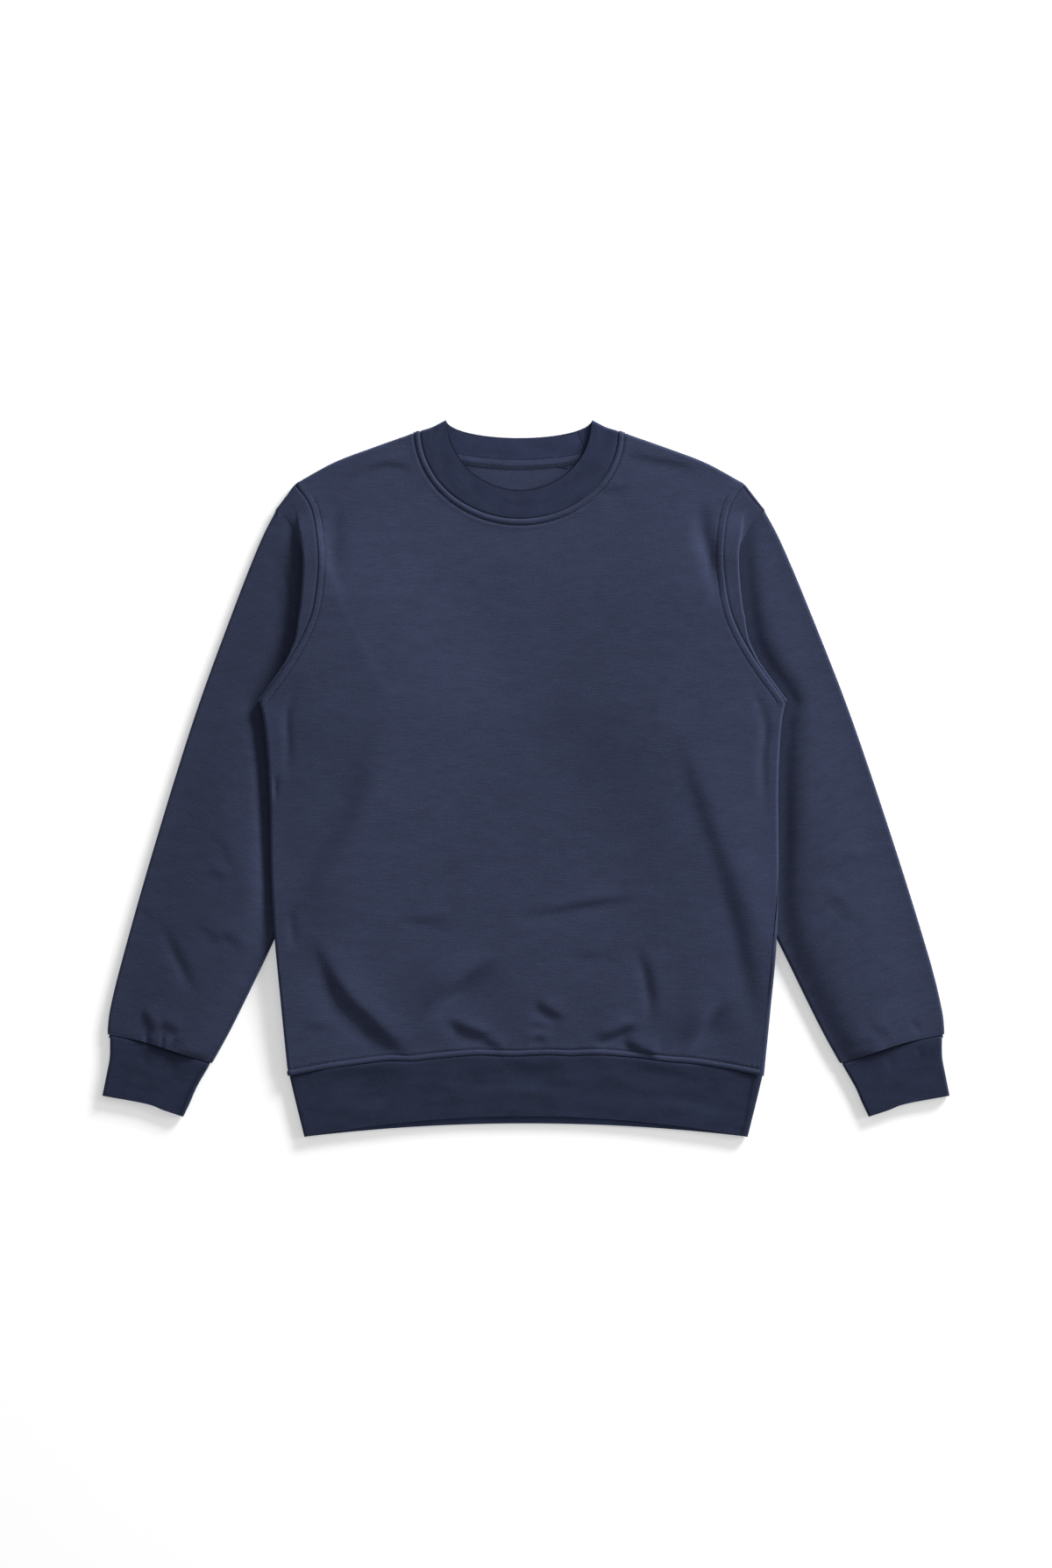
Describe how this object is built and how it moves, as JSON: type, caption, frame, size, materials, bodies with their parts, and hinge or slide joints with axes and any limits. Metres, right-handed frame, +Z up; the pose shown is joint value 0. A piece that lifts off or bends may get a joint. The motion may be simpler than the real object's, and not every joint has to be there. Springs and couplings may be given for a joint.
{
  "type": "crewneck sweatshirt",
  "caption": "Long-sleeved crewneck sweatshirt laid flat, front up, with ribbed collar, cuffs and hem band, its sleeves lying down beside the body.",
  "frame": {"origin": "on the surface that the garment lies on, at the centre of its bounding box seen from above", "axes": "+X across the body towards the wearer's left sleeve, +Y up the body towards the neck, +Z up from the surface out of the front of the garment"},
  "size_m": [0.8706, 0.7367, 0.0141],
  "materials": {
    "fleece": "matte navy fleece-back jersey",
    "rib": "matte dark navy rib knit"
  },
  "bodies": {
    "root": {"front_panel": "fleece", "back_panel": "fleece", "sleeve_left": "fleece", "sleeve_right": "fleece", "neck_tape": "fleece", "collar": "rib", "hem_band": "rib", "cuff_left": "rib", "cuff_right": "rib"}
  },
  "joints": []
}
